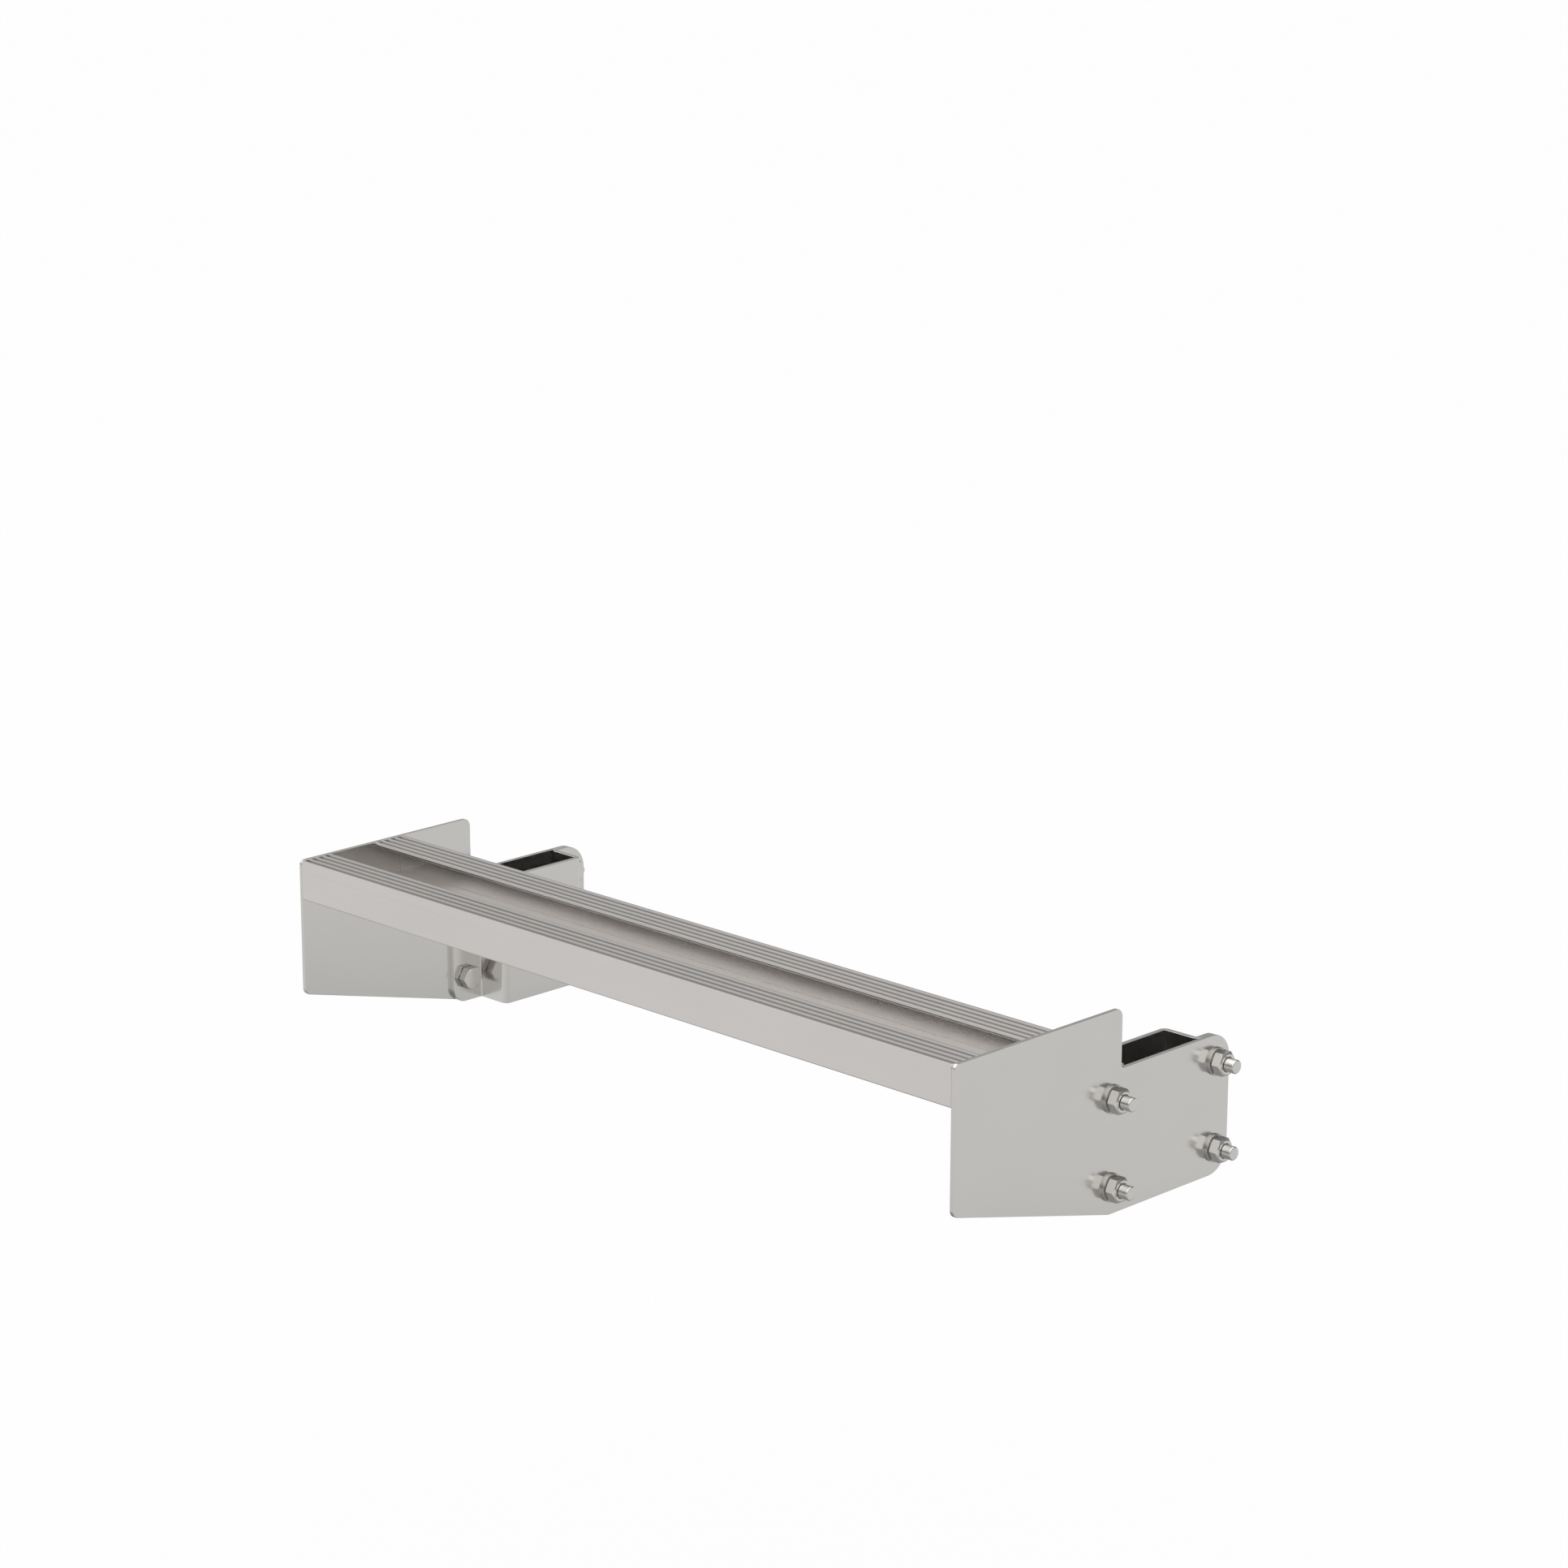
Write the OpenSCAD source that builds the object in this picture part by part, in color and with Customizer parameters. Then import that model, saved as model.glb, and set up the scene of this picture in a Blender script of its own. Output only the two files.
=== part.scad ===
// Ladder exit step: a ribbed aluminium channel, open at the top along a slot, is
// the tread and is welded between two side plates.
// A bent hat clamp is bolted to the arm of each plate and grips one stile of a
// fixed ladder. The origin is midway between the two stile sockets, +X runs
// along the tread, -Y is the tread's side and +Z is up. Sizes in millimetres.

/* [Tread] */
// Length of the tread, which is the distance between the side plates
tread_length = 520; // [300:1:700]
// Front to back depth of the tread
tread_depth = 78.2; // [70:0.2:110]
// Height of the tread's section
tread_height = 24; // [18:0.5:36]
// Wall thickness of the channel's front, bottom and rear
tread_wall = 2.5; // [1.5:0.1:3.5]
// Radius of the channel's four outer edges
tread_edge_radius = 0.7; // [0.3:0.1:1.2]
// Radius of the channel's inner corners
tread_inner_radius = 1; // [0.5:0.1:3]
// Depth of each ribbed flange, front to back
strip_depth = 22.1; // [18:0.1:26]
// Thickness of the ribbed flanges, ribs included
strip_thickness = 2.5; // [2.2:0.1:4]
// Radius under the free edge of each ribbed flange
lip_radius = 0.7; // [0.2:0.1:1.2]
// Number of grooves in each flange
groove_count = 4; // [2:1:5]
// Depth of the grooves
groove_depth = 1.3; // [0.6:0.1:1.8]
// How far each groove flank leans in at its foot
groove_flank = 0.5; // [0.1:0.1:0.6]
// Width of a rib's flat top
rib_width = 1.15; // [0.8:0.05:1.8]
// Width of the wider ribs that begin and end each flange
edge_rib_width = 1.6; // [1.3:0.1:2]

/* [Side plates] */
// Thickness of the side plates
plate_thickness = 2.5; // [2:0.5:6]
// Depth of the side plates, front to back
plate_depth = 223.5; // [205:0.5:300]
// Height of the side plates, from the tread's top to the arm's bottom
plate_height = 115; // [105:1:150]
// Height of the plate's front edge
front_height = 83; // [60:1:95]
// Depth of the plate's high part, whose top is flush with the tread
shoulder_depth = 132; // [100:1:150]
// Drop from the tread's top to the top of the arm
arm_drop = 34; // [20:1:40]
// Distance from the front edge to the knee in the bottom edge
knee_depth = 124; // [90:1:150]
// Radius of the front top corner
front_corner_radius = 3; // [1:0.5:6]
// Radius of the front bottom corner
foot_corner_radius = 4.5; // [1:0.5:10]
// Radius at the back of the shoulder
shoulder_radius = 5; // [1:0.5:10]
// Fillet radius between shoulder and arm
arm_fillet_radius = 2; // [1:0.5:5]
// Radius of the arm's two rear corners
arm_corner_radius = 15; // [4:1:16]

/* [Stile clamps] */
// Depth of the ladder stile that the clamp holds, front to back
stile_depth = 58; // [40:0.5:64]
// Width of the ladder stile, across the ladder
stile_width = 22; // [16:0.5:40]
// Gap between the stile and the clamp on every side
stile_clearance = 0.25; // [0.1:0.05:1]
// Sheet thickness of the clamps
clamp_thickness = 3; // [2:0.5:4]
// Depth of a bolted flange, from its edge to the web
flange_depth = 22.5; // [21:0.5:28]
// Inner radius of the bends
bend_radius = 1; // [0.5:0.25:1.5]
// Radius of the corners of the front flange
flange_corner_radius = 9.5; // [2:0.5:10]

/* [Fasteners] */
// Nominal diameter of the bolts
bolt_diameter = 8; // [6:0.5:8]
// Length of the bolts under the head
bolt_length = 20; // [16:1:30]
// Width across flats of the bolt heads and nuts
hex_across_flats = 13; // [11:0.5:13.5]
// Height of the bolt heads
head_height = 5.3; // [4:0.1:6]
// Height of the round face under a bolt head
head_face_height = 0.4; // [0.2:0.1:0.8]
// Height of the nuts
nut_height = 6.5; // [4.5:0.1:7]
// Radial gap between nut and bolt, in place of the thread
thread_gap = 0.05; // [0.02:0.01:0.1]
// Outer diameter of the washers
washer_diameter = 16; // [13:0.5:17]
// Thickness of the washers
washer_thickness = 1.6; // [1:0.1:2]
// Radial gap between washer and bolt
washer_gap = 0.2; // [0.1:0.05:0.4]
// Radial gap between bolt and the holes in plate and clamp
hole_gap = 0.5; // [0.2:0.1:0.8]
// Distance between the upper and the lower bolts
bolt_spacing = 50; // [30:1:54]
// Size of the chamfer at the end of a bolt
bolt_end_chamfer = 0.8; // [0.3:0.1:1.2]

/* [Welds] */
// Leg length of the weld beads between tread and side plates
weld_leg = 3; // [2:0.5:5]
// Length of the bead under the tread
weld_length = 56; // [20:1:66]

/* [Hidden] */
$fn = 72;

// Width of the mouth of a groove
groove_opening = (strip_depth - 2 * edge_rib_width
  - (groove_count - 1) * rib_width) / groove_count;

// Stile socket and clamp
socket_depth = stile_depth + 2 * stile_clearance;
socket_width = stile_width + 2 * stile_clearance;
web_half = socket_depth / 2 + clamp_thickness;
clamp_half = web_half + flange_depth;
clamp_width = socket_width + clamp_thickness;
bolt_offset = clamp_half - flange_depth / 2;

// Side plate edges seen from the origin between the sockets
plate_inner = tread_length / 2;
plate_outer = plate_inner + plate_thickness;
plate_rear = clamp_half;
plate_front = plate_rear - plate_depth;
arm_half = (plate_height - arm_drop) / 2;
plate_top = arm_half + arm_drop;

hole_radius = bolt_diameter / 2 + hole_gap;
// Vertices of a hexagon lie this far from its axis
hex_radius = hex_across_flats / sqrt(3);
// Height lost at a vertex to the 30 degree chamfer of a nut or head
hex_chamfer = (hex_radius - hex_across_flats / 2) * tan(30);
// Overlap that makes a cutting tool run past the surface that it cuts
past = 1;

alloy = [0.78, 0.78, 0.76];
zinc = [0.70, 0.71, 0.72];
bead = [0.66, 0.66, 0.65];

function unit(v) = v / norm(v);
function at(list, i) = list[(i + len(list)) % len(list)];
function to_last(p, i) = unit(at(p, i - 1) - p[i]);
function to_next(p, i) = unit(at(p, i + 1) - p[i]);
function half_angle(p, i) = acos(to_last(p, i) * to_next(p, i)) / 2;
function tangent(p, r, i) = r[i] / tan(half_angle(p, i));
function centre(p, r, i) =
  p[i] + unit(to_last(p, i) + to_next(p, i)) * r[i] / sin(half_angle(p, i));
// True where an outline that runs anticlockwise turns outward
function convex(p, i) = cross(p[i] - at(p, i - 1), at(p, i + 1) - p[i]) > 0;

// Polygon with a real arc at each corner that has a radius
module rounded(p, r) {
  last = len(p) - 1;
  difference() {
    union() {
      polygon([for (i = [0 : last])
        each convex(p, i) && r[i] > 0
          ? [p[i] + to_last(p, i) * tangent(p, r, i),
             p[i] + to_next(p, i) * tangent(p, r, i)]
          : [p[i]]]);
      for (i = [0 : last]) if (r[i] > 0) {
        ends = [p[i] + to_last(p, i) * tangent(p, r, i),
                p[i] + to_next(p, i) * tangent(p, r, i)];
        if (convex(p, i)) intersection() {
          translate(centre(p, r, i)) circle(r[i]);
          polygon([ends[0], p[i], ends[1], centre(p, r, i)]);
        }
        else polygon([p[i], each ends]);
      }
    }
    for (i = [0 : last]) if (r[i] > 0 && !convex(p, i))
      translate(centre(p, r, i)) circle(r[i]);
  }
}

// Turns a drawing in (Y, Z) into a slab that starts at X = 0
module slab(thickness) {
  rotate([90, 0, 90]) linear_extrude(thickness) children();
}

module mirrored_to_left() {
  mirror([1, 0, 0]) children();
}

// Bolt centres of one flange; row is -1 for the front one and 1 for the rear
module at_bolts(row) {
  for (level = [-1, 1])
    translate([0, row * bolt_offset, level * bolt_spacing / 2]) children();
}

// One groove of a strip, drawn with its mouth at height 0
module groove() {
  polygon([
    [-groove_opening / 2 - groove_flank / groove_depth * past, past],
    [-groove_opening / 2 + groove_flank, -groove_depth],
    [groove_opening / 2 - groove_flank, -groove_depth],
    [groove_opening / 2 + groove_flank / groove_depth * past, past]
  ]);
}

module strip_grooves() {
  for (k = [0 : groove_count - 1])
    translate([edge_rib_width + groove_opening / 2
      + k * (groove_opening + rib_width), 0]) groove();
}

// Half of the tread's section, from its front face to its middle
module tread_half_section() {
  middle = tread_depth / 2;
  floor = -tread_height + tread_wall;
  difference() {
    rounded([
      [0, -tread_height], [middle, -tread_height], [middle, floor],
      [tread_wall, floor], [tread_wall, -strip_thickness],
      [strip_depth, -strip_thickness], [strip_depth, 0], [0, 0]],
      [tread_edge_radius, 0, 0, tread_inner_radius, tread_inner_radius,
       lip_radius, 0, tread_edge_radius]);
    strip_grooves();
  }
}

module tread_profile() {
  color(alloy) translate([-plate_inner, plate_front, plate_top])
    slab(tread_length) {
      tread_half_section();
      translate([tread_depth, 0]) mirror([1, 0]) tread_half_section();
    }
}

module side_plate() {
  knee = plate_front + knee_depth;
  shoulder = plate_front + shoulder_depth;
  color(alloy) translate([plate_inner, 0, 0]) slab(plate_thickness)
    difference() {
      rounded([
        [plate_front, plate_top], [plate_front, plate_top - front_height],
        [knee, -arm_half], [plate_rear, -arm_half], [plate_rear, arm_half],
        [shoulder, arm_half], [shoulder, plate_top]],
        [front_corner_radius, foot_corner_radius, 0, arm_corner_radius,
         arm_corner_radius, arm_fillet_radius, shoulder_radius]);
      for (row = [-1, 1], level = [-1, 1])
        translate([row * bolt_offset, level * bolt_spacing / 2])
          circle(hole_radius);
    }
}

// Plan of the clamp, with the side plate's inner face on x = 0
module clamp_section() {
  inner = bend_radius;
  outer = bend_radius + clamp_thickness;
  edge = socket_depth / 2;
  rounded([
    [0, -clamp_half], [0, -edge], [-socket_width, -edge],
    [-socket_width, edge], [0, edge], [0, clamp_half],
    [-clamp_thickness, clamp_half], [-clamp_thickness, web_half],
    [-clamp_width, web_half], [-clamp_width, -web_half],
    [-clamp_thickness, -web_half], [-clamp_thickness, -clamp_half]],
    [0, outer, inner, inner, outer, 0, 0, inner, outer, outer, inner, 0]);
}

module stile_clamp() {
  color(alloy) translate([plate_inner, 0, 0]) difference() {
    intersection() {
      translate([0, 0, -arm_half]) linear_extrude(2 * arm_half)
        clamp_section();
      translate([-clamp_width - past, 0, 0]) slab(clamp_width + 2 * past)
        rounded([
          [clamp_half, -arm_half], [clamp_half, arm_half],
          [-clamp_half, arm_half], [-clamp_half, -arm_half]],
          [arm_corner_radius, arm_corner_radius,
           flange_corner_radius, flange_corner_radius]);
    }
    for (row = [-1, 1]) at_bolts(row)
      rotate([0, 90, 0]) cylinder(h = 4 * clamp_thickness, r = hole_radius,
        center = true);
  }
}

// Hexagon whose vertices point to the front and to the back
module hexagon(height) {
  rotate(90) cylinder(h = height, r = hex_radius, $fn = 6);
}

// Body of revolution that takes the corners off one end of a hexagon
module chamfer_disc(height) {
  cylinder(h = height - hex_chamfer, r = hex_radius + past);
  translate([0, 0, height - hex_chamfer])
    cylinder(h = hex_chamfer, r1 = hex_radius, r2 = hex_across_flats / 2);
}

// A bolt along +Z whose head bears on the plane Z = 0
module bolt() {
  chamfer = bolt_end_chamfer;
  translate([0, 0, -head_face_height])
    cylinder(h = head_face_height, r = hex_across_flats / 2 - 0.3);
  translate([0, 0, -head_face_height]) rotate([180, 0, 0]) intersection() {
    hexagon(head_height - head_face_height);
    chamfer_disc(head_height - head_face_height);
  }
  cylinder(h = bolt_length - chamfer, r = bolt_diameter / 2);
  translate([0, 0, bolt_length - chamfer])
    cylinder(h = chamfer, r1 = bolt_diameter / 2,
      r2 = bolt_diameter / 2 - chamfer);
}

// A nut that stands on Z = 0, with a chamfer on both faces and round the bore
module nut() {
  bore = bolt_diameter / 2 + thread_gap;
  mouth = 0.5;
  difference() {
    intersection() {
      hexagon(nut_height);
      chamfer_disc(nut_height);
      translate([0, 0, nut_height]) rotate([180, 0, 0])
        chamfer_disc(nut_height);
    }
    translate([0, 0, -past]) cylinder(h = nut_height + 2 * past, r = bore);
    cylinder(h = mouth, r1 = bore + mouth, r2 = bore);
    translate([0, 0, nut_height - mouth])
      cylinder(h = mouth, r1 = bore, r2 = bore + mouth);
  }
}

module washer() {
  difference() {
    cylinder(h = washer_thickness, r = washer_diameter / 2);
    translate([0, 0, -past]) cylinder(h = washer_thickness + 2 * past,
      r = bolt_diameter / 2 + washer_gap);
  }
}

module bolts(row) {
  color(zinc) translate([plate_inner - clamp_thickness, 0, 0])
    at_bolts(row) rotate([0, 90, 0]) bolt();
}

module washers(row) {
  color(zinc) translate([plate_outer, 0, 0])
    at_bolts(row) rotate([0, 90, 0]) washer();
}

module nuts(row) {
  color(zinc) translate([plate_outer + washer_thickness, 0, 0])
    at_bolts(row) rotate([0, 90, 0]) nut();
}

// Quarter-round bead along +Z in the corner of the planes X = 0 and Y = 0
module weld_bead(length) {
  intersection() {
    union() {
      translate([0, 0, weld_leg])
        cylinder(h = length - 2 * weld_leg, r = weld_leg);
      for (end = [weld_leg, length - weld_leg])
        translate([0, 0, end]) sphere(weld_leg);
    }
    cube([weld_leg, weld_leg, length]);
  }
}

// Bead in the corner under the tread's bottom
module underside_weld() {
  color(bead) translate([plate_inner,
    plate_front + (tread_depth - weld_length) / 2, plate_top - tread_height])
    mirror([1, 0, 0]) mirror([0, 0, 1]) rotate([-90, 0, 0])
      mirror([0, 1, 0]) weld_bead(weld_length);
}

// Upright bead in the corner behind the tread's rear face
module rear_weld() {
  height = tread_height - 2 * tread_edge_radius;
  color(bead) translate([plate_inner, plate_front + tread_depth,
    plate_top - tread_height + tread_edge_radius])
    mirror([1, 0, 0]) weld_bead(height);
}

module right_side_plate() { side_plate(); }
module left_side_plate() { mirrored_to_left() side_plate(); }
module right_stile_clamp() { stile_clamp(); }
module left_stile_clamp() { mirrored_to_left() stile_clamp(); }
module right_front_bolts() { bolts(-1); }
module right_rear_bolts() { bolts(1); }
module left_front_bolts() { mirrored_to_left() bolts(-1); }
module left_rear_bolts() { mirrored_to_left() bolts(1); }
module right_front_washers() { washers(-1); }
module right_rear_washers() { washers(1); }
module left_front_washers() { mirrored_to_left() washers(-1); }
module left_rear_washers() { mirrored_to_left() washers(1); }
module right_front_nuts() { nuts(-1); }
module right_rear_nuts() { nuts(1); }
module left_front_nuts() { mirrored_to_left() nuts(-1); }
module left_rear_nuts() { mirrored_to_left() nuts(1); }
module right_underside_weld() { underside_weld(); }
module left_underside_weld() { mirrored_to_left() underside_weld(); }
module right_rear_weld() { rear_weld(); }
module left_rear_weld() { mirrored_to_left() rear_weld(); }

tread_profile();
left_side_plate();
right_side_plate();
left_stile_clamp();
right_stile_clamp();
left_front_bolts();
left_rear_bolts();
right_front_bolts();
right_rear_bolts();
left_front_washers();
left_rear_washers();
right_front_washers();
right_rear_washers();
left_front_nuts();
left_rear_nuts();
right_front_nuts();
right_rear_nuts();
left_underside_weld();
right_underside_weld();
left_rear_weld();
right_rear_weld();
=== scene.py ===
"""Looks of the ladder exit step: sheet, extrusion, fasteners and weld beads.

Lengths in the tables are millimetres in the frame of the CAD model: +X along
the tread, -Y towards its front face, +Z up, origin midway between the stile
sockets.
"""
import math
import random

import bmesh
import bpy
from mathutils import Matrix, Vector


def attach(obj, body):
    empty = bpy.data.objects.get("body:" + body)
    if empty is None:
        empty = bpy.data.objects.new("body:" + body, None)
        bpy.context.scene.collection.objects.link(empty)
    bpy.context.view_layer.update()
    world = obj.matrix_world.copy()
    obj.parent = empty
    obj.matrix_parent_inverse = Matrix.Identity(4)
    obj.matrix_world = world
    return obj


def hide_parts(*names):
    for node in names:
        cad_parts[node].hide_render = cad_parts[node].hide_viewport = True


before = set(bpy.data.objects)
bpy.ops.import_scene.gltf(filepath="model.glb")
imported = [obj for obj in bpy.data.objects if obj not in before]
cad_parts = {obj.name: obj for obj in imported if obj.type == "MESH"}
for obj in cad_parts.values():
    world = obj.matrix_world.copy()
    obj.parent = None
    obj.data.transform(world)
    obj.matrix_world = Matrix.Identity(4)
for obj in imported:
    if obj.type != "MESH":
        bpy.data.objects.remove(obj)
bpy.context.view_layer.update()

MM = 0.001
SIDES = (("right", 1), ("left", -1))
ROWS = (("front", -1), ("rear", 1))

# Places shared by several pieces
PLATE_INNER = 260.0
PLATE_THICK = 2.5
PLATE_FRONT = -168.75
TOP = 74.5
ARM_HALF = 40.5
BOLT_Y = 43.5
BOLT_Z = 25.0
HOLE_GAP = 0.5
SHEET_EDGE = 0.3        # radius that softens the edges of all cut sheets

# Side plate
FRONT_HEIGHT = 83.0
KNEE_DEPTH = 124.0
SHOULDER_DEPTH = 132.0
ARM_CORNER = 15.0
PLATE_RADII = (3.0, 4.5, 0, ARM_CORNER, ARM_CORNER, 2.0, 5.0)

# Tread section, from its front face (u) and its top (v)
TREAD_DEPTH = 78.2
TREAD_HEIGHT = 24.0
TREAD_WALL = 2.5
STRIP = 22.1
STRIP_THICK = 2.5
GROOVES = 4
GROOVE_DEPTH = 1.3
GROOVE_FLANK = 0.5
RIB = 1.15
EDGE_RIB = 1.6

# Clamp, bent from a flat sheet
CLAMP_THICK = 3.0
CLAMP_HALF = 54.75
SOCKET_HALF = 29.25
SOCKET_WIDTH = 22.5
BEND_INNER = 1.0
FLANGE_CORNER = 9.5

# Fasteners
BOLT_R = 4.0
BOLT_LENGTH = 20.0
HEX_FLATS = 13.0
HEAD_HEIGHT = 5.3
HEAD_FACE = 0.4         # height of the round face under the head
HEAD_CUT = 6.95         # radius beyond which the head's corners are cut back
BOLT_CHAMFER = 0.8
THREAD_START = 6.2
THREAD_PITCH = 1.25
THREAD_DEPTH = 0.02
THREAD_GAP = 0.05
NUT_HEIGHT = 6.5
NUT_FACE = 5.75         # radius where the nut's chamfer starts
WASHER_R = 8.0
WASHER_THICK = 1.6
WASHER_GAP = 0.2

WELD_LEG = 3.0
WELD_LENGTH = 56.0
REAR_WELD_INSET = 0.7   # from the tread's top and bottom


# ---------------------------------------------------------------- outlines
def arc(centre, start, end, steps):
    """Points on the short arc about centre, with start and end."""
    a, b = start - centre, end - centre
    first = math.atan2(a.y, a.x)
    turn = (math.atan2(b.y, b.x) - first + math.pi) % (2 * math.pi) - math.pi
    return [centre + a.length * Vector((math.cos(first + turn * k / steps),
                                        math.sin(first + turn * k / steps)))
            for k in range(steps + 1)]


def rounded(points, radii, steps=5):
    """Closed outline with an arc at each corner that has a radius."""
    outline = []
    for i, radius in enumerate(radii):
        corner = Vector(points[i])
        if not radius:
            outline.append(corner)
            continue
        back = (Vector(points[i - 1]) - corner).normalized()
        ahead = (Vector(points[(i + 1) % len(points)]) - corner).normalized()
        half = back.angle(ahead) / 2
        centre = corner + (back + ahead).normalized() * radius / math.sin(half)
        reach = radius / math.tan(half)
        outline += arc(centre, corner + back * reach, corner + ahead * reach,
                       steps)
    return outline


def inset(outline, distance):
    """The outline moved to its left by distance, with mitred corners."""
    moved = []
    for i, point in enumerate(outline):
        into = (point - outline[i - 1]).normalized()
        out = (outline[(i + 1) % len(outline)] - point).normalized()
        normal = Vector((-into.y - out.y, into.x + out.x)).normalized()
        along = max(0.2, normal.dot(Vector((-into.y, into.x))))
        moved.append(point + normal * distance / along)
    return moved


def circle(centre, radius, count, turn=1):
    return [Vector(centre) + radius * Vector((math.cos(turn * 2 * math.pi * k
                                                       / count),
                                              math.sin(turn * 2 * math.pi * k
                                                       / count)))
            for k in range(count)]


# ---------------------------------------------------------------- meshes
def skin(bm, rings, closed=False):
    """Quads between rings of equally many vertices."""
    pairs = list(zip(rings, rings[1:]))
    if closed:
        pairs.append((rings[-1], rings[0]))
    for low, high in pairs:
        for i in range(len(low)):
            j = (i + 1) % len(low)
            bm.faces.new((low[i], low[j], high[j], high[i]))


def fill(bm, loops):
    """Flat face over one outline and the holes in it."""
    edges = []
    for loop in loops:
        for i, vert in enumerate(loop):
            edges.append(bm.edges.get((vert, loop[(i + 1) % len(loop)])))
    bmesh.ops.triangle_fill(bm, use_beauty=True, edges=edges)


def sheet(bm, loops, thickness, edge, steps=3):
    """Flat sheet on (x, y), from z = 0 to thickness, with rounded edges."""
    profile = [(edge * (1 - math.sin(math.pi / 2 * k / steps)),
                edge * (1 - math.cos(math.pi / 2 * k / steps)))
               for k in range(steps + 1)]
    profile += [(d, thickness - z) for d, z in reversed(profile)]
    ends = ([], [])
    for loop in loops:
        rings = [[bm.verts.new((p.x, p.y, z)) for p in inset(loop, d)]
                 for d, z in profile]
        skin(bm, rings)
        ends[0].append(rings[0])
        ends[1].append(rings[-1])
    for end in ends:
        fill(bm, end)


def finish_mesh(name, bm, place, material, nodes, crease=28):
    """Object from a mesh in mm; place maps a vertex to the frame, in mm."""
    for vert in bm.verts:
        vert.co = place(vert.co) * MM
    bmesh.ops.recalc_face_normals(bm, faces=bm.faces)
    limit = math.radians(crease)
    for face in bm.faces:
        face.smooth = True
    for edge in bm.edges:
        edge.smooth = (len(edge.link_faces) == 2
                       and edge.calc_face_angle(0) < limit)
    mesh = bpy.data.meshes.new(name)
    bm.to_mesh(mesh)
    bm.free()
    mesh.materials.append(material)
    piece = bpy.data.objects.new(name, mesh)
    bpy.context.scene.collection.objects.link(piece)
    weighted = piece.modifiers.new("flat_faces", "WEIGHTED_NORMAL")
    weighted.keep_sharp = True
    weighted.weight = 80
    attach(piece, "root")
    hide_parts(*nodes)
    return piece


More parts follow.
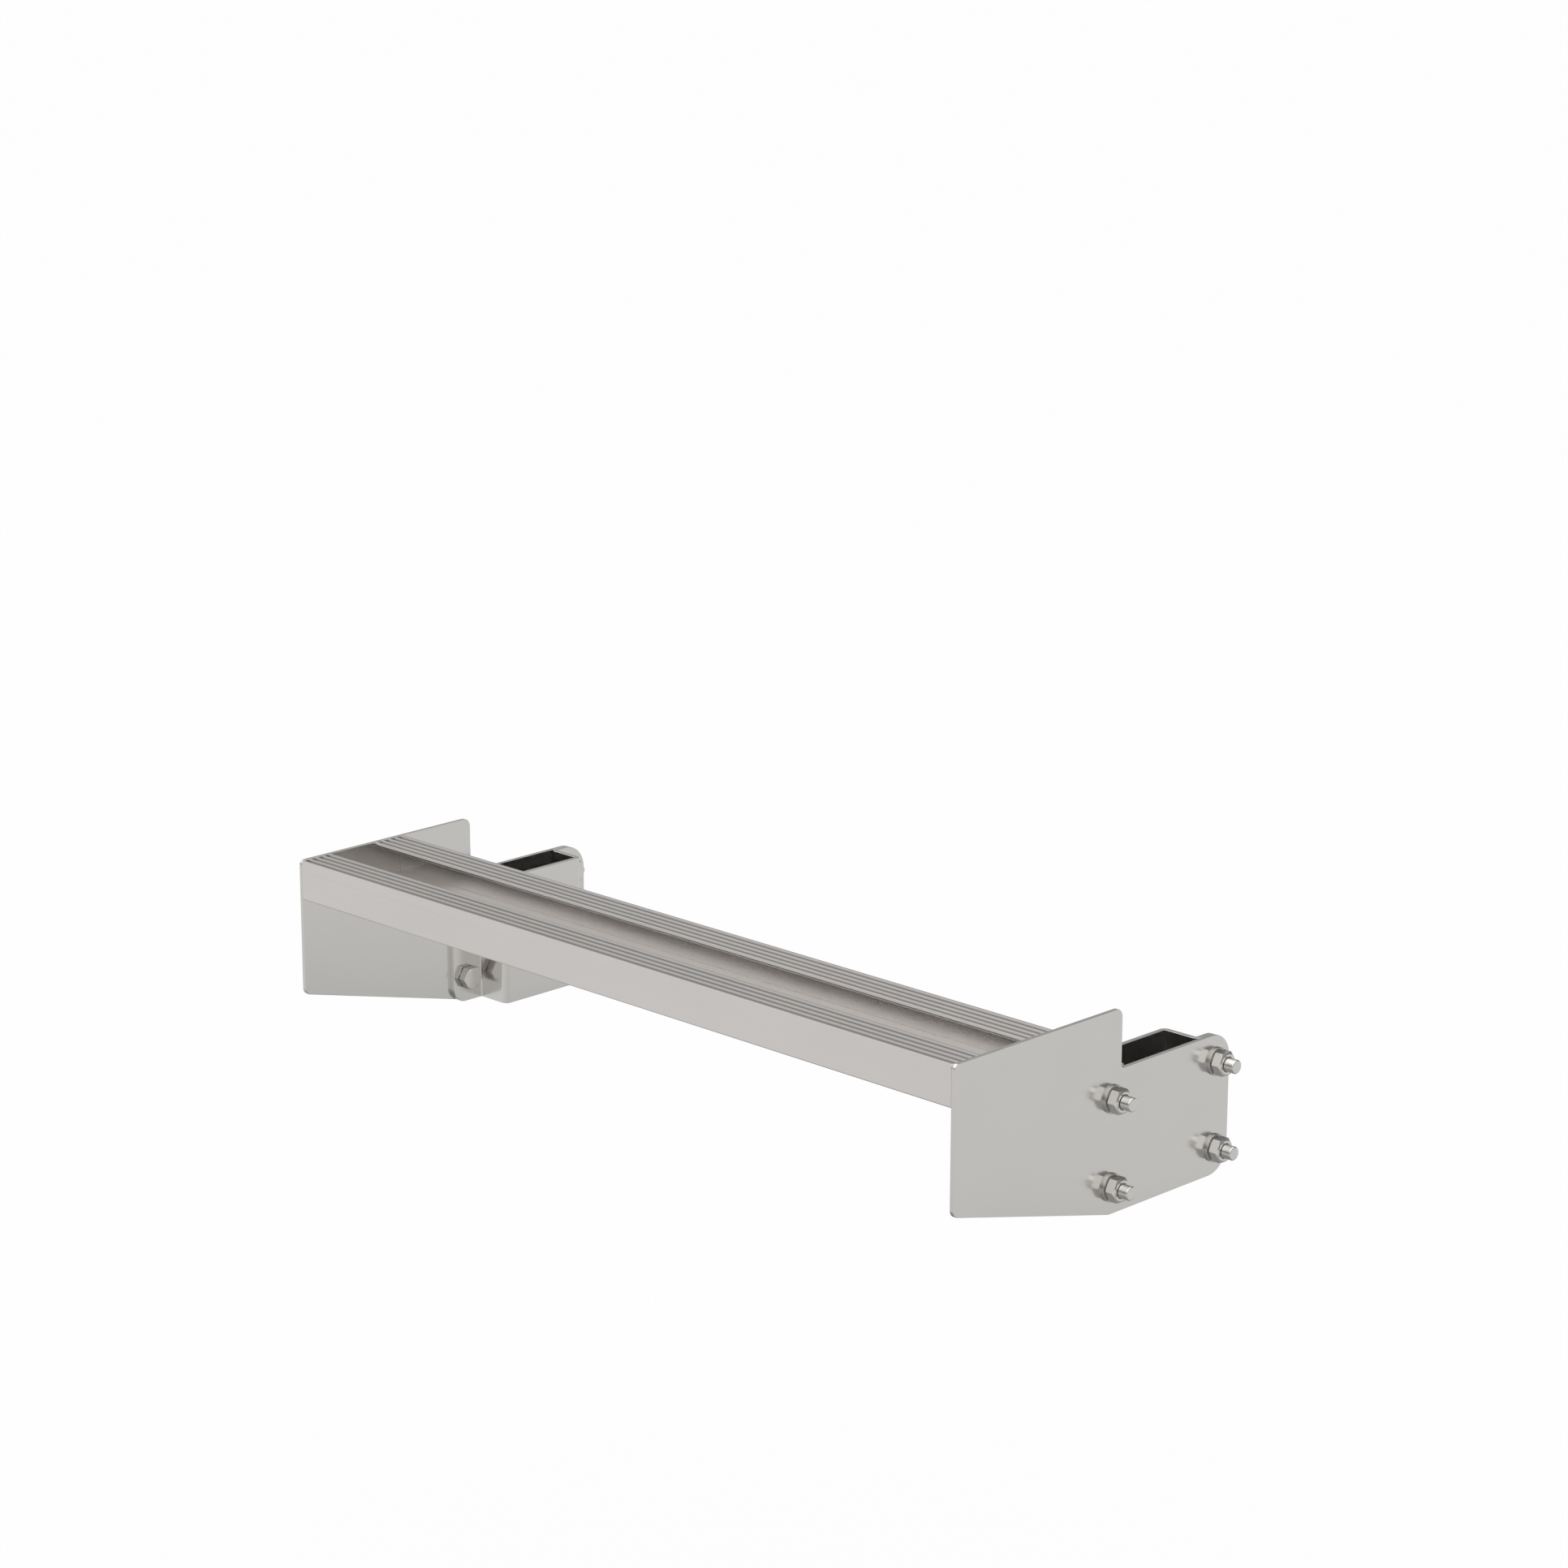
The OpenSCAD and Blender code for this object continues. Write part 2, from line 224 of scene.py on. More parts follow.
# ---------------------------------------------------------------- materials
class Nodes:
    """A material's node tree, with short calls to add and link nodes."""

    def __init__(self, name):
        self.material = bpy.data.materials.new(name)
        self.material.use_nodes = True
        self.tree = self.material.node_tree
        self.shader = self.tree.nodes["Principled BSDF"]
        self.place = self.add("ShaderNodeTexCoord").outputs["Object"]

    def add(self, kind, inputs=None, **settings):
        node = self.tree.nodes.new(kind)
        for key, value in settings.items():
            setattr(node, key, value)
        for key, value in (inputs or {}).items():
            if isinstance(value, bpy.types.NodeSocket):
                self.tree.links.new(value, node.inputs[key])
            else:
                node.inputs[key].default_value = value
        return node

    def link(self, output, socket):
        self.tree.links.new(output, self.shader.inputs[socket])

    def noise(self, stretch, scale, detail):
        """Noise of about -1 to 1, stretched by a factor along each axis."""
        space = self.add("ShaderNodeMapping", {"Vector": self.place,
                                               "Scale": stretch})
        noise = self.add("ShaderNodeTexNoise",
                         {"Vector": space.outputs["Vector"], "Scale": scale,
                          "Detail": detail, "Roughness": 0.55})
        return self.add("ShaderNodeMapRange",
                        {"Value": noise.outputs["Fac"], "From Min": 0.3,
                         "From Max": 0.7, "To Min": -1.0, "To Max": 1.0}
                        ).outputs["Result"]

    def sum(self, *terms):
        """Weighted sum of (output, weight) pairs plus any plain number."""
        total = None
        for term in terms:
            if isinstance(term, tuple):
                part = self.add("ShaderNodeMath", {0: term[0], 1: term[1]},
                                operation="MULTIPLY").outputs[0]
            else:
                part = term
            if total is None:
                total = part
                continue
            total = self.add("ShaderNodeMath", {0: total, 1: part},
                             operation="ADD").outputs[0]
        return total

    def tint(self, dark, light, amount):
        """Colour between dark (-1) and light (1)."""
        share = self.add("ShaderNodeMapRange",
                         {"Value": amount, "From Min": -1.0, "From Max": 1.0})
        mix = self.add("ShaderNodeMix", {"Factor": share.outputs["Result"]},
                       data_type="RGBA")
        # The colour sockets of a Mix node share their names with the others
        for socket in mix.inputs:
            if socket.type == "RGBA":
                colour = dark if socket.name == "A" else light
                socket.default_value = (*colour, 1)
        return next(o for o in mix.outputs if o.type == "RGBA")

    def groove_painted_shade(self, colour, keep=0.29):
        """The colour with painted shade, darker towards the feet of the
        tread's grooves.
        """
        axes = self.add("ShaderNodeSeparateXYZ", {"Vector": self.place})
        depth = self.add("ShaderNodeMapRange",
                         {"Value": axes.outputs["Z"],
                          "From Min": (TOP - 0.4 * GROOVE_DEPTH) * MM,
                          "From Max": (TOP - GROOVE_DEPTH) * MM})
        above = self.add("ShaderNodeMath", {
            0: axes.outputs["Z"], 1: (TOP - GROOVE_DEPTH - 0.2) * MM},
            operation="GREATER_THAN")
        # Distance from the tread's middle, kept to the grooved strips
        across = self.add("ShaderNodeMath", {
            0: axes.outputs["Y"], 1: (PLATE_FRONT + TREAD_DEPTH / 2) * MM},
            operation="SUBTRACT")
        across = self.add("ShaderNodeMath", {0: across.outputs[0]},
                          operation="ABSOLUTE")
        half = TREAD_DEPTH / 2
        inside = self.add("ShaderNodeMath", {
            0: across.outputs[0], 1: (half - STRIP / 2) * MM,
            2: (STRIP / 2 - EDGE_RIB + 0.3) * MM}, operation="COMPARE")
        share = self.add("ShaderNodeMath", {0: depth.outputs["Result"],
                                            1: inside.outputs[0]},
                         operation="MULTIPLY")
        share = self.add("ShaderNodeMath", {0: share.outputs[0],
                                            1: above.outputs[0]},
                         operation="MULTIPLY")
        share = self.add("ShaderNodeMath", {0: share.outputs[0],
                                            1: 1 - keep},
                         operation="MULTIPLY")
        factor = self.add("ShaderNodeMath", {0: 1.0, 1: share.outputs[0]},
                          operation="SUBTRACT")
        return self.add("ShaderNodeVectorMath", {
            0: colour, "Scale": factor.outputs[0]},
            operation="SCALE").outputs["Vector"]

    def bump(self, height, distance, strength):
        node = self.add("ShaderNodeBump", {"Height": height,
                                           "Distance": distance,
                                           "Strength": strength})
        self.link(node.outputs["Normal"], "Normal")


def metal(name, base, spread, rough):
    """Shared start of the metals: the tree and the two end colours."""
    nodes = Nodes(name)
    nodes.shader.inputs["Metallic"].default_value = 1.0
    nodes.shader.inputs["Roughness"].default_value = rough
    dark = tuple(c * (1 - spread) for c in base)
    light = tuple(min(1.0, c * (1 + spread)) for c in base)
    return nodes, dark, light


def extruded_alloy():
    """Bare extrusion: fine die lines along X, faint bands and smudges, and
    painted shade at the feet of the grooves.
    """
    rough = 0.16
    nodes, dark, light = metal("extruded_alloy", (0.83, 0.80, 0.775), 0.04,
                               rough)
    lines = nodes.noise((2, 900, 900), 1.0, detail=2.0)
    bands = nodes.noise((1.5, 60, 60), 1.0, detail=2.0)
    smudges = nodes.noise((1, 1.6, 1.6), 14.0, detail=4.0)
    tone = nodes.sum((lines, 0.22), (bands, 0.25), (smudges, 0.4))
    # The base colour carries painted shade in the feet of the grooves
    nodes.link(nodes.groove_painted_shade(nodes.tint(dark, light, tone)), "Base Color")
    nodes.link(nodes.sum((smudges, 0.012), (bands, 0.01), rough), "Roughness")
    nodes.bump(nodes.sum((lines, 0.6), (smudges, 0.4)), 0.000002, 0.3)
    return nodes.material


def rolled_alloy():
    """Cut sheet with a faint rolling grain and cloudy handling marks."""
    rough = 0.18
    nodes, dark, light = metal("rolled_alloy", (0.785, 0.77, 0.745), 0.04,
                               rough)
    grain = nodes.noise((700, 20, 700), 1.0, detail=2.0)
    clouds = nodes.noise((1, 1, 1), 22.0, detail=5.0)
    specks = nodes.noise((1, 1, 1), 900.0, detail=2.0)
    tone = nodes.sum((grain, 0.16), (clouds, 0.4), (specks, 0.2))
    nodes.link(nodes.tint(dark, light, tone), "Base Color")
    nodes.link(nodes.sum((clouds, 0.015), (grain, 0.01), rough), "Roughness")
    nodes.bump(nodes.sum((grain, 0.5), (specks, 0.5)), 0.000003, 0.4)
    return nodes.material


def fastener_steel(name, base, rough):
    """Fastener steel with tiny marks of forming and handling."""
    nodes, dark, light = metal(name, base, 0.07, rough)
    clouds = nodes.noise((1, 1, 1), 90.0, detail=4.0)
    turned = nodes.noise((1200, 90, 90), 1.0, detail=2.0)
    tone = nodes.sum((clouds, 0.5), (turned, 0.25))
    nodes.link(nodes.tint(dark, light, tone), "Base Color")
    nodes.link(nodes.sum((clouds, 0.03), (turned, 0.02), rough), "Roughness")
    nodes.bump(nodes.sum((clouds, 0.7), (turned, 0.3)), 0.00001, 0.7)
    return nodes.material


def weld_metal():
    """Weld bead: duller, with a grainy skin."""
    rough = 0.42
    nodes, dark, light = metal("weld_metal", (0.72, 0.71, 0.69), 0.12, rough)
    clouds = nodes.noise((1, 1, 1), 120.0, detail=5.0)
    grains = nodes.noise((1, 1, 1), 1500.0, detail=2.0)
    tone = nodes.sum((clouds, 0.6), (grains, 0.3))
    nodes.link(nodes.tint(dark, light, tone), "Base Color")
    nodes.link(nodes.sum((clouds, 0.06), rough), "Roughness")
    nodes.bump(nodes.sum((clouds, 0.5), (grains, 0.5)), 0.00003, 0.8)
    return nodes.material


# ---------------------------------------------------------------- pieces
def tread_outline():
    """Section of the slotted channel, anticlockwise, with softened edges."""
    opening = (STRIP - 2 * EDGE_RIB - (GROOVES - 1) * RIB) / GROOVES
    pitch = opening + RIB

    def strip_top(start):
        """Corners of a ribbed top from its high end (u) to its low end."""
        corners = []
        for k in reversed(range(GROOVES)):
            low = start + EDGE_RIB + k * pitch
            corners += [((low + opening, 0), 0.05),
                        ((low + opening - GROOVE_FLANK, -GROOVE_DEPTH),
                         0.05),
                        ((low + GROOVE_FLANK, -GROOVE_DEPTH), 0.05),
                        ((low, 0), 0.05)]
        return corners

    inner_front, inner_rear = TREAD_WALL, TREAD_DEPTH - TREAD_WALL
    floor = -TREAD_HEIGHT + TREAD_WALL
    rear_lip = TREAD_DEPTH - STRIP
    corners = [((0, -TREAD_HEIGHT), 0.8), ((TREAD_DEPTH, -TREAD_HEIGHT), 0.8),
               ((TREAD_DEPTH, 0), 0.4)]
    corners += strip_top(rear_lip)
    # The slot's rear lip slants back like the flank of a groove
    corners += [((rear_lip + GROOVE_FLANK, 0), 0.1),
                ((rear_lip, -GROOVE_DEPTH), 0.1),
                ((rear_lip, -STRIP_THICK), 0.4),
                ((inner_rear, -STRIP_THICK), 0.3), ((inner_rear, floor), 0.2),
                ((inner_front, floor), 0.2),
                ((inner_front, -STRIP_THICK), 0.3),
                ((STRIP, -STRIP_THICK), 0.7), ((STRIP, 0), 0.4)]
    corners += strip_top(0)
    corners += [((0, 0), 0.15)]
    return rounded([c[0] for c in corners], [c[1] for c in corners], 4)


def make_tread(material):
    outline = tread_outline()
    bm = bmesh.new()
    length = 2 * PLATE_INNER
    stations = [0.0, 0.4] + [length * k / 26 for k in range(1, 26)]
    stations += [length - 0.4, length]
    rings = []
    for x in stations:
        burr = 0.08 if x in (0.0, length) else 0.0
        rings.append([bm.verts.new((p.x, p.y, x))
                      for p in inset(outline, burr)])
    skin(bm, rings)
    fill(bm, [rings[0]])
    fill(bm, [rings[-1]])
    finish_mesh("tread_extrusion", bm,
                lambda c: Vector((c.z - PLATE_INNER, PLATE_FRONT + c.x,
                                  TOP + c.y)),
                material, ["tread_profile"])


def hole_loops(centres):
    return [circle(c, BOLT_R + HOLE_GAP, 40, turn=-1) for c in centres]


def make_plate(side, sign, material):
    """Stepped side plate, drawn on (Y, Z)."""
    rear, shoulder = CLAMP_HALF, PLATE_FRONT + SHOULDER_DEPTH
    outline = rounded(
        [(PLATE_FRONT, TOP), (PLATE_FRONT, TOP - FRONT_HEIGHT),
         (PLATE_FRONT + KNEE_DEPTH, -ARM_HALF), (rear, -ARM_HALF),
         (rear, ARM_HALF), (shoulder, ARM_HALF), (shoulder, TOP)],
        PLATE_RADII, 10)
    holes = hole_loops([(y, z) for y in (-BOLT_Y, BOLT_Y)
                        for z in (-BOLT_Z, BOLT_Z)])
    bm = bmesh.new()
    sheet(bm, [outline] + holes, PLATE_THICK, SHEET_EDGE)
    finish_mesh(side + "_plate_sheet", bm,
                lambda c: Vector((sign * (PLATE_INNER + c.z), c.x, c.y)),
                material, [side + "_side_plate"])


BEND_OUTER = BEND_INNER + CLAMP_THICK
BEND_ARC = math.pi / 2 * (BEND_INNER + CLAMP_THICK / 2)
FLANGE_FLAT = CLAMP_HALF - SOCKET_HALF - BEND_OUTER
SIDE_FLAT = SOCKET_WIDTH - BEND_OUTER - BEND_INNER
WEB_FLAT = 2 * (SOCKET_HALF - BEND_INNER)
SHEET_LENGTH = WEB_FLAT + 2 * (FLANGE_FLAT + SIDE_FLAT + 2 * BEND_ARC)


def bend(s, n):
    """Plan position of a point of the flat clamp: x from the plate, and y.

    s runs along the sheet and n through it, from the face on the stile's side.
    """
    side = -1 if s < SHEET_LENGTH / 2 else 1
    run = min(s, SHEET_LENGTH - s)
    first = FLANGE_FLAT
    second = first + BEND_ARC
    third = second + SIDE_FLAT
    fourth = third + BEND_ARC
    if run <= first:
        x, y = -n, CLAMP_HALF - run
    elif run <= second:
        turn = (run - first) / BEND_ARC * math.pi / 2
        radius = BEND_OUTER - n
        x = -BEND_OUTER + radius * math.cos(turn)
        y = SOCKET_HALF + BEND_OUTER - radius * math.sin(turn)
    elif run <= third:
        x, y = -BEND_OUTER - (run - second), SOCKET_HALF + n
    elif run <= fourth:
        turn = (run - third) / BEND_ARC * math.pi / 2
        radius = BEND_INNER + n
        x = -SOCKET_WIDTH + BEND_INNER - radius * math.sin(turn)
        y = SOCKET_HALF - BEND_INNER + radius * math.cos(turn)
    else:
        x = -SOCKET_WIDTH - n
        y = SOCKET_HALF - BEND_INNER - (run - fourth)
    return x, side * y


def make_clamp(side, sign, material):
    """Hat clamp: a flat blank on (s, Z) that is cut across and then bent."""
    outline = rounded([(0, -ARM_HALF), (SHEET_LENGTH, -ARM_HALF),
                       (SHEET_LENGTH, ARM_HALF), (0, ARM_HALF)],
                      [FLANGE_CORNER, ARM_CORNER, ARM_CORNER, FLANGE_CORNER],
                      10)
    near = CLAMP_HALF - BOLT_Y
    holes = hole_loops([(s, z) for s in (near, SHEET_LENGTH - near)
                        for z in (-BOLT_Z, BOLT_Z)])
    bm = bmesh.new()
    sheet(bm, [outline] + holes, CLAMP_THICK, SHEET_EDGE)
    cuts = []
    for start in (FLANGE_FLAT, FLANGE_FLAT + BEND_ARC + SIDE_FLAT):
        cuts += [start + BEND_ARC * k / 8 for k in range(9)]
    cuts += [SHEET_LENGTH - s for s in cuts]
    for s in cuts:
        bmesh.ops.bisect_plane(
            bm, geom=bm.verts[:] + bm.edges[:] + bm.faces[:], dist=1e-4,
            plane_co=(s, 0, 0), plane_no=(1, 0, 0))

    def place(c):
        x, y = bend(c.x, c.z)
        return Vector((sign * (PLATE_INNER + x), y, c.y))

    finish_mesh(side + "_clamp_sheet", bm, place, material,
                [side + "_stile_clamp"])


HEX_POINTS = 12     # points to one side of a hexagon
HEX_TAN = math.tan(math.radians(30))


def hex_outline(edge=0.25):
    """Hexagon with vertices on the local x axis and slightly soft corners."""
    corner = HEX_FLATS / math.sqrt(3)
    points = [Vector((corner * math.cos(math.pi / 3 * k),
                      corner * math.sin(math.pi / 3 * k))) for k in range(6)]
    soft = rounded(points, [edge] * 6, 4)
    outline = []
    for i, point in enumerate(soft):
        outline.append(point)
        ahead = soft[(i + 1) % len(soft)]
        if (ahead - point).length > 2:
            count = HEX_POINTS - 4
            outline += [point.lerp(ahead, k / count)
                        for k in range(1, count)]
    return outline


HEX = hex_outline()


def round_ring(bm, radius, height):
    return [bm.verts.new((*(p.normalized() * radius), height)) for p in HEX]


def hex_ring(bm, shrink, height):
    """Ring on the hexagon; height is a function of a point's radius."""
    ring = []
    for p in HEX:
        q = p * (1 - shrink / p.length)
        ring.append(bm.verts.new((q.x, q.y, height(p.length))))
    return ring


def hex_end(bm, face, height, away):
    """Rings of a chamfered hexagon end, from its flat face to its sides.

    face is the radius where the 30 degree chamfer starts, height the level of
    the face and away 1 where the body lies above the face, -1 below.
    """
    def slope(drop):
        return lambda r: height + away * ((r - face) * HEX_TAN + drop)
    return [round_ring(bm, face - 0.12, height),
            round_ring(bm, face + 0.06, height + away * 0.03),
            hex_ring(bm, 0.1, slope(-0.05)), hex_ring(bm, 0.02, slope(0.02)),
            hex_ring(bm, 0.0, slope(0.14))]


def thread_rings(bm, start, end, steps=6):
    """Shank with a helical groove, as rings whose radius varies round them."""
    rings, pitch = [], THREAD_PITCH
    count = round((end - start) / pitch * steps)
    for k in range(count + 1):
        z = start + (end - start) * k / count
        ease = min(1.0, (z - start) / pitch, (end - z) / pitch + 0.25)
        ring = []
        for p in HEX:
            turn = math.atan2(p.y, p.x) / (2 * math.pi)
            phase = (z / pitch - turn) % 1
            cut = THREAD_DEPTH * ease * (0.5 - 0.5 * math.cos(
                2 * math.pi * phase))
            q = p.normalized() * (BOLT_R - cut)
            ring.append(bm.verts.new((q.x, q.y, z)))
        rings.append(ring)
    return rings


def add_bolt(bm):
    """Bolt along +z whose head bears on z = 0."""
    low, edge = -HEAD_HEIGHT, 0.25
    rings = [round_ring(bm, r, low) for r in (1.5, 4.5)]
    # The face is flat up to the 30 degree cut of its very corners
    rings.append([bm.verts.new((*(p.normalized() * min(
        p.length - edge - 0.05, HEAD_CUT - edge)), low)) for p in HEX])
    rings += [hex_ring(bm, shrink, lambda r, lift=lift:
                       low + lift + max(0.0, r - HEAD_CUT) * HEX_TAN)
              for shrink, lift in ((edge, 0.0), (0.06, 0.04), (0.0, 0.16))]
    rings += [hex_ring(bm, 0.0, lambda r: -HEAD_FACE - 0.12),
              hex_ring(bm, 0.06, lambda r: -HEAD_FACE - 0.02),
              hex_ring(bm, 0.2, lambda r: -HEAD_FACE)]
    rings += [round_ring(bm, r, z) for r, z in
              ((6.22, -HEAD_FACE), (6.2, -HEAD_FACE + 0.03), (6.2, -0.05),
               (6.12, 0.0), (4.3, 0.0), (4.0, 0.0), (4.0, 0.1), (4.0, 6.0))]
    rings += thread_rings(bm, THREAD_START, BOLT_LENGTH - BOLT_CHAMFER)
    rings += [round_ring(bm, r, BOLT_LENGTH - z) for r, z in
              ((BOLT_R - 0.05, BOLT_CHAMFER - 0.04), (BOLT_R - 0.12, 0.42),
               (BOLT_R - 0.3, 0.16), (BOLT_R - 0.5, 0.03),
               (BOLT_R - 0.75, 0.0), (1.2, 0.0))]
    skin(bm, rings)
    bm.faces.new(rings[0])
    bm.faces.new(rings[-1])


def add_nut(bm):
    """Nut on z = 0: chamfered faces, and a narrow gap round the bolt's end."""
    bore, mouth = BOLT_R + THREAD_GAP, 0.6
    rings = [round_ring(bm, r, z) for r, z in
             ((bore, mouth), (bore + mouth - 0.05, 0.03),
              (bore + mouth + 0.05, 0.0))]
    rings += hex_end(bm, NUT_FACE, 0.0, 1)
    rings += list(reversed(hex_end(bm, NUT_FACE, NUT_HEIGHT, -1)))
    rings += [round_ring(bm, r, z) for r, z in
              ((bore + 0.45, NUT_HEIGHT), (bore + 0.4, NUT_HEIGHT - 0.05),
               (bore + 0.35, NUT_HEIGHT - 1.1), (bore, NUT_HEIGHT - 1.3))]
    skin(bm, rings, closed=True)


def add_washer(bm):
    """Stamped washer on z = 0: rolled upper edge, slight burr below."""
    inner, outer, top = BOLT_R + WASHER_GAP, WASHER_R, WASHER_THICK
    rings = [round_ring(bm, r, z) for r, z in
             ((inner, 0.1), (inner + 0.1, 0.0), (outer - 0.08, 0.0),
              (outer, 0.08), (outer, top - 0.3), (outer - 0.09, top - 0.09),
              (outer - 0.3, top), (inner + 0.2, top), (inner, top - 0.2))]
    skin(bm, rings, closed=True)


def make_pair(kind, side, sign, row, y_sign, add, base, material):
    """Upper and lower fastener of one flange, as two loose parts."""
    bm = bmesh.new()
    for level in (-1, 1):
        before = len(bm.verts)
        add(bm)
        bm.verts.ensure_lookup_table()
        # Each real fastener stops at a turn of its own; here only the small
        # marks differ, because heads and nuts all point their corners forward
        for vert in bm.verts[before:]:
            x, y, z = vert.co
            vert.co = (base + z, y_sign * BOLT_Y + x, level * BOLT_Z + y)
    finish_mesh(f"{side}_{row}_{kind}_pair", bm,
                lambda c: Vector((sign * c.x, c.y, c.z)),
                material, [f"{side}_{row}_{kind}s"], crease=32)


def weld_bead(bm, length, seed):
    """Rippled quarter-round bead along +z, in the corner of x = y = 0."""
    chance = random.Random(seed)
    steps = int(length / 0.2)
    across = 12
    ripples, z = [], 0.0
    while z < length + 4:
        ripples.append((z, chance.uniform(0.93, 1.0)))
        z += chance.uniform(1.25, 1.75)
    rows = []
    for i in range(steps + 1):
        z = length * i / steps
        end = min(z, length - z)
        cap = math.sqrt(max(0.0, 1 - (1 - min(1.0, end / WELD_LEG)) ** 2))
        ring = [bm.verts.new((0, 0, z))]
        for k in range(across + 1):
            angle = math.pi / 2 * k / across
            # Each ripple is a crescent that lags in the middle of the bead
            along = z + 0.9 * math.sin(2 * angle)
            start, size = max((r for r in ripples if r[0] <= along),
                              key=lambda r: r[0])
            share = min(1.0, (along - start) / 1.5)
            wave = 0.90 + 0.10 * math.sin(math.pi * min(1.0, share * 1.05))
            radius = WELD_LEG * size * wave * cap
            ring.append(bm.verts.new((radius * math.cos(angle),
                                      radius * math.sin(angle), z)))
        rows.append(ring)
    skin(bm, rows)
    bmesh.ops.remove_doubles(bm, verts=bm.verts, dist=1e-4)


def make_welds(side, sign, material):
    tread_bottom = TOP - TREAD_HEIGHT
    bm = bmesh.new()
    weld_bead(bm, WELD_LENGTH, 11 if sign > 0 else 12)
    y0 = PLATE_FRONT + (TREAD_DEPTH - WELD_LENGTH) / 2
    finish_mesh(side + "_underside_bead", bm,
                lambda c: Vector((sign * (PLATE_INNER - c.x), y0 + c.z,
                                  tread_bottom - c.y)),
                material, [side + "_underside_weld"], crease=50)
    bm = bmesh.new()
    weld_bead(bm, TREAD_HEIGHT - 2 * REAR_WELD_INSET, 21 if sign > 0 else 22)
    finish_mesh(side + "_rear_bead", bm,
                lambda c: Vector((sign * (PLATE_INNER - c.x),
                                  PLATE_FRONT + TREAD_DEPTH + c.y,
                                  tread_bottom + REAR_WELD_INSET + c.z)),
                material, [side + "_rear_weld"], crease=50)


alloy, sheet_alloy = extruded_alloy(), rolled_alloy()
steel = fastener_steel("bolt_steel", (0.80, 0.785, 0.76), 0.2)
# The washers' colour is painted darker than the bolts' steel, as painted shade
# round the nuts
washer_steel_painted_shade = fastener_steel("washer_steel_painted_shade", (0.60, 0.585, 0.565), 0.3)
bead = weld_metal()
make_tread(alloy)
for side, sign in SIDES:
    make_plate(side, sign, sheet_alloy)
    make_clamp(side, sign, sheet_alloy)
    make_welds(side, sign, bead)
    for row, y_sign in ROWS:
        outer = PLATE_INNER + PLATE_THICK
        make_pair("bolt", side, sign, row, y_sign, add_bolt,
                  PLATE_INNER - CLAMP_THICK, steel)
        make_pair("washer", side, sign, row, y_sign, add_washer, outer,
                  washer_steel_painted_shade)
        make_pair("nut", side, sign, row, y_sign, add_nut,
                  outer + WASHER_THICK, steel)


# ---------------------------------------------------------------- studio
def make_floor(level=-0.45, half=30.0):
    mesh = bpy.data.meshes.new("studio_floor")
    mesh.from_pydata([(-half, -half, level), (half, -half, level),
                      (half, half, level), (-half, half, level)], [],
                     [(0, 1, 2, 3)])
    floor = bpy.data.objects.new("studio_floor", mesh)
    bpy.context.scene.collection.objects.link(floor)
    material = bpy.data.materials.new("studio_floor")
    material.use_nodes = True
    tree = material.node_tree
    tree.nodes.clear()
    new, wire = tree.nodes.new, tree.links.new
    out = new("ShaderNodeOutputMaterial")
    path = new("ShaderNodeLightPath")
    matt = new("ShaderNodeBsdfDiffuse")
    matt.inputs["Color"].default_value = (0.9, 0.9, 0.9, 1)
    # The camera sees a white floor; metal shows it greyer, most so below it,
    # where a painted shadow darkens it
    white = new("ShaderNodeEmission")
    white.inputs["Color"].default_value = (1, 1, 1, 1)
    place = new("ShaderNodeTexCoord")
    away = new("ShaderNodeVectorMath")
    away.operation = "LENGTH"
    wire(place.outputs["Object"], away.inputs[0])
    shade = new("ShaderNodeMapRange")
    shade.interpolation_type = "SMOOTHSTEP"
    shade.inputs["From Min"].default_value = 0.35
    shade.inputs["From Max"].default_value = 1.5
    shade.inputs["To Min"].default_value = 0.2
    shade.inputs["To Max"].default_value = 0.66
    wire(away.outputs["Value"], shade.inputs["Value"])
    grade = new("ShaderNodeMath")
    grade.operation = "MAXIMUM"
    wire(path.outputs["Is Camera Ray"], grade.inputs[0])
    wire(shade.outputs["Result"], grade.inputs[1])
    wire(grade.outputs[0], white.inputs["Strength"])
    seen = new("ShaderNodeMath")
    seen.operation = "MAXIMUM"
    wire(path.outputs["Is Camera Ray"], seen.inputs[0])
    wire(path.outputs["Is Glossy Ray"], seen.inputs[1])
    clear = new("ShaderNodeMath")
    clear.operation = "MAXIMUM"
    wire(seen.outputs[0], clear.inputs[0])
    wire(path.outputs["Is Transmission Ray"], clear.inputs[1])
    share = new("ShaderNodeMath")
    share.operation = "MULTIPLY"
    share.inputs[1].default_value = 0.92
    wire(clear.outputs[0], share.inputs[0])
    mix = new("ShaderNodeMixShader")
    wire(share.outputs[0], mix.inputs[0])
    wire(matt.outputs[0], mix.inputs[1])
    wire(white.outputs[0], mix.inputs[2])
    # From below the floor is clear, so that a low view isn't blocked
    side = new("ShaderNodeNewGeometry")
    hollow = new("ShaderNodeBsdfTransparent")
    final = new("ShaderNodeMixShader")
    wire(side.outputs["Backfacing"], final.inputs[0])
    wire(mix.outputs[0], final.inputs[1])
    wire(hollow.outputs[0], final.inputs[2])
    wire(final.outputs[0], out.inputs["Surface"])
    mesh.materials.append(material)


